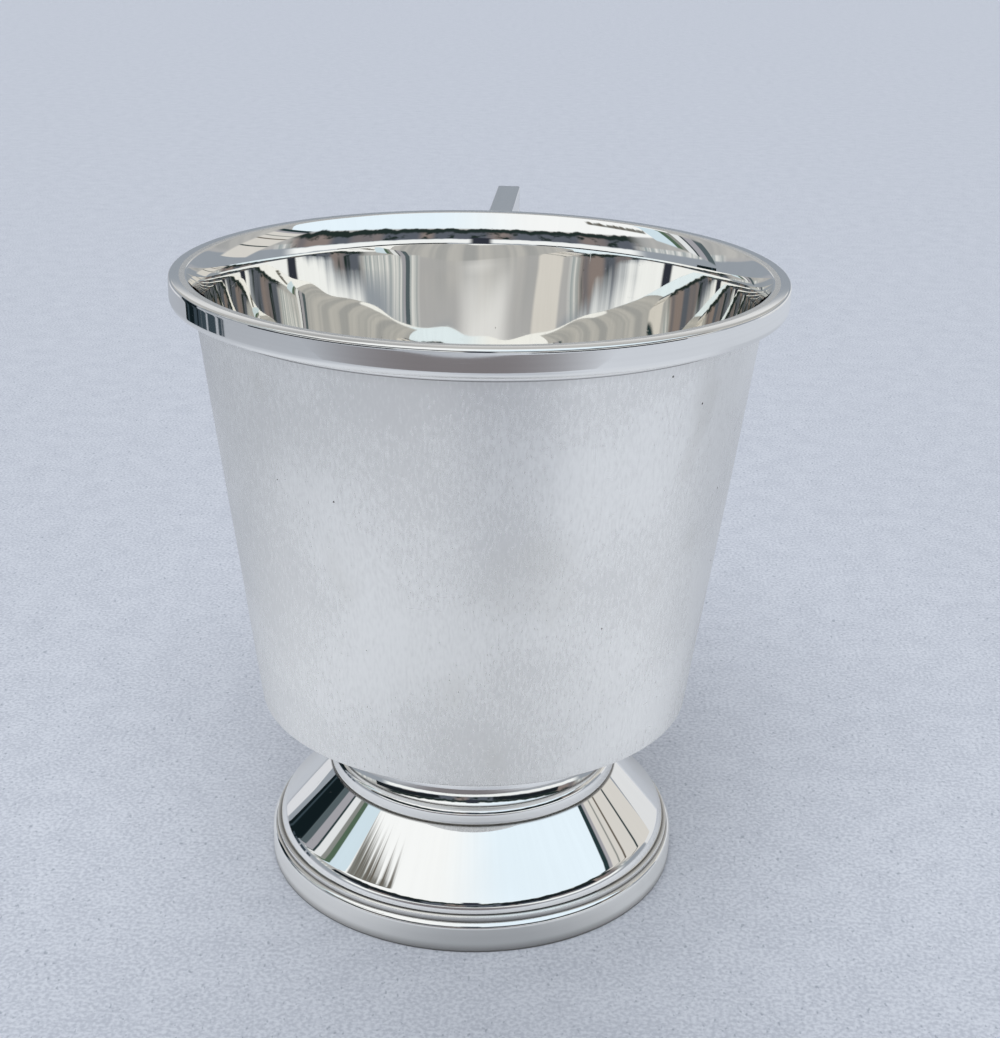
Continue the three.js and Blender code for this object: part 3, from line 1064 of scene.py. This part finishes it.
# %% Streaky dark patch to the left
stone = (0.25, 0.265, 0.255)
bark = (0.12, 0.105, 0.085)
patch_ways = (-78.3, -50)
patch_lean = -0.30
flame_height = 8.0
patch_foot = (56.5, 58)
patch_head = (61.6, 59.6)
streak_cut = (0.35, 0.65)
streaks = upright_noise(waves=0.38, detail=5.0)
above = maths(tree, "MULTIPLY_ADD", turn, patch_lean, height)
flames = maths(tree, "MULTIPLY_ADD", maths(tree, "SUBTRACT", streaks, 0.5), flame_height, above)
streaky = maths(tree, "MULTIPLY", ranged(tree, above, *patch_foot), ranged(tree, flames, *patch_head))
patch = maths(tree, "MULTIPLY", within(tree, turn, *patch_ways, edge=0.8), streaky)
sky = mixed(tree, patch, sky, mixed(tree, ranged(tree, streaks, *streak_cut), bark, stone))
print(f"streaky patch from {patch_ways[0]} to {patch_ways[1]} degrees round")

# %% Strips at the sides, each from its own way round to the next one's
white = (0.76, 0.79, 0.82)
cream = (0.68, 0.665, 0.64)
slate = (0.09, 0.12, 0.135)
lilac = (0.36, 0.36, 0.40)
pale_blue = (0.63, 0.765, 0.86)
moss = (0.085, 0.14, 0.095)
ink = (0.02, 0.04, 0.045)
left_strips = [
    (-112, slate), (-107, lilac), (-101.8, ink), (-100.4, white), (-95.5, stone), (-92.6, moss),
    (-89.2, pale_blue)]
left_end = -78.5
right_strips = [
    (96.3, ink), (98.8, lilac), (100.6, cream), (104.4, stone), (105.3, cream), (108.4, bark),
    (109.5, cream), (117.9, ink), (119.1, cream)]
right_end = 132
strip_edge = 0.3
strip_reach = 7


def strips(below, slope, middle, lean, starts, end):
    """Strips side by side over the colour below, from one ramp with two stops at each edge.

    They run along a line in the sky, whose height is slope x the way round + middle. A strip's way
    round is its turn less a lean for each degree over that line, and it fades out some degrees over
    and under it.
    """
    first = starts[0][0]
    over = maths(tree, "SUBTRACT", height, maths(tree, "MULTIPLY_ADD", turn, slope, middle))
    way = maths(tree, "MULTIPLY_ADD", over, -lean, turn)
    share = maths(tree, "DIVIDE", maths(tree, "SUBTRACT", way, first), end - first)
    made = node(tree, "ValToRGB", {"Fac": share})
    stops = made.color_ramp.elements
    stops.remove(stops[1])
    stops[0].color = (*starts[0][1], 1)
    for (_, before), (start, after) in zip(starts, starts[1:]):
        for edge, colour in ((start - strip_edge, before), (start + strip_edge, after)):
            stops.new((edge - first) / (end - first)).color = (*colour, 1)
    near_line = within(tree, over, -strip_reach, strip_reach, edge=1)
    shown = maths(tree, "MULTIPLY", within(tree, way, first, end, strip_edge), near_line)
    return mixed(tree, shown, below, made.outputs["Color"])


sky = strips(sky, slope=0.547, middle=79.6, lean=0.5, starts=left_strips, end=left_end)
sky = strips(sky, slope=-0.61, middle=90.6, lean=1.3, starts=right_strips, end=right_end)
print(len(left_strips) + len(right_strips), "strips in the sky")

# %% [markdown]
# ### Which rays see which sky
#
# Light Path tells the world what kind of ray asks. The paper is lit by a plain sky that is a little
# brighter overhead, the camera sees an even backdrop, and only reflections see the sky made above.

# %% Plain light for the paper, and the rest for the silver
light_low = (0.155, 0.163, 0.176)
light_high = (0.197, 0.207, 0.225)
light_heights = (5, 75)
backdrop = (0.546, 0.591, 0.672)
light = mixed(tree, ranged(tree, height, *light_heights), light_low, light_high)
path = node(tree, "LightPath").outputs
plain = node(tree, "Background", {"Color": mixed(tree, path["Is Camera Ray"], light, backdrop)})
shown = node(tree, "MixShader", {0: path["Is Glossy Ray"], 1: plain.outputs[0]})
tree.links.new(sky, tree.nodes["Background"].inputs["Color"])
tree.links.new(tree.nodes["Background"].outputs[0], shown.inputs[2])
tree.links.new(shown.outputs[0], tree.nodes["World Output"].inputs["Surface"])
print(len(tree.nodes), "nodes in the world")

# %% [markdown]
# ## Lamps
#
# Two large soft lamps light the paper, one high behind the left shoulder of the mug and one high in
# front. Between them they leave only a faint shadow, to the front and right. They are far away, so
# that the sheet is lit evenly, and so broad that the shadow has no edge. They are hidden from the
# silver, which shows the sky.

# %% Soft lamps
from mathutils import Matrix, Vector

lamp_breadth = np.radians(50)
lamp_tint = (0.88, 0.923, 1.0)


def soft_lamp(name, way, strength):
    """Far, broad lamp that shines on the mug from a way."""
    made = bpy.data.objects.new(name, bpy.data.lights.new(name, "SUN"))
    made.data.energy = strength
    made.data.angle = lamp_breadth
    made.data.color = lamp_tint
    made.rotation_euler = (-Vector(way)).to_track_quat("-Z", "Y").to_euler()
    made.visible_glossy = False
    bpy.context.scene.collection.objects.link(made)
    print(f"{name}: strength {strength}")


soft_lamp("back_lamp", way=(-0.08, 0.55, 1.0), strength=1.00)
soft_lamp("front_lamp", way=(-0.05, -0.45, 1.0), strength=1.88)

# %% [markdown]
# ## Camera
#
# The camera stands in front of the mug and a little above it. Its place, tilt and lens were found by
# matching the ellipses of the rim and the foot, and it has no shift and no blur.

# %% Camera
camera_from_axis = np.array((14.29, -197.54, 124.15)) * MM
heading = np.radians(3.27)
pitch = np.radians(21.238)
roll = np.radians(1.221)
focus_in_pixels = 1645.7
picture_height = 1038
nearest_seen = 10 * MM
mirror_depth = 8

level = np.array((np.cos(heading), np.sin(heading), 0))
onward = np.array((-np.sin(heading), np.cos(heading), 0))
forward = onward * np.cos(pitch) - np.array((0, 0, np.sin(pitch)))
upright = np.cross(level, forward)
pose = np.eye(4)
pose[:3, 0] = level * np.cos(roll) + upright * np.sin(roll)
pose[:3, 1] = upright * np.cos(roll) - level * np.sin(roll)
pose[:3, 2] = -forward
pose[:3, 3] = camera_from_axis + (0, axis_y, 0)

camera = bpy.data.objects.new("camera", bpy.data.cameras.new("camera"))
camera.data.sensor_width = 36
camera.data.lens = focus_in_pixels * camera.data.sensor_width / picture_height
camera.data.clip_start = nearest_seen
camera.matrix_world = Matrix(pose.tolist())
bpy.context.scene.collection.objects.link(camera)
bpy.context.scene.camera = camera
bpy.context.scene.view_settings.view_transform = "Standard"
bpy.context.scene.cycles.glossy_bounces = mirror_depth
print(f"lens {camera.data.lens:.1f} mm")
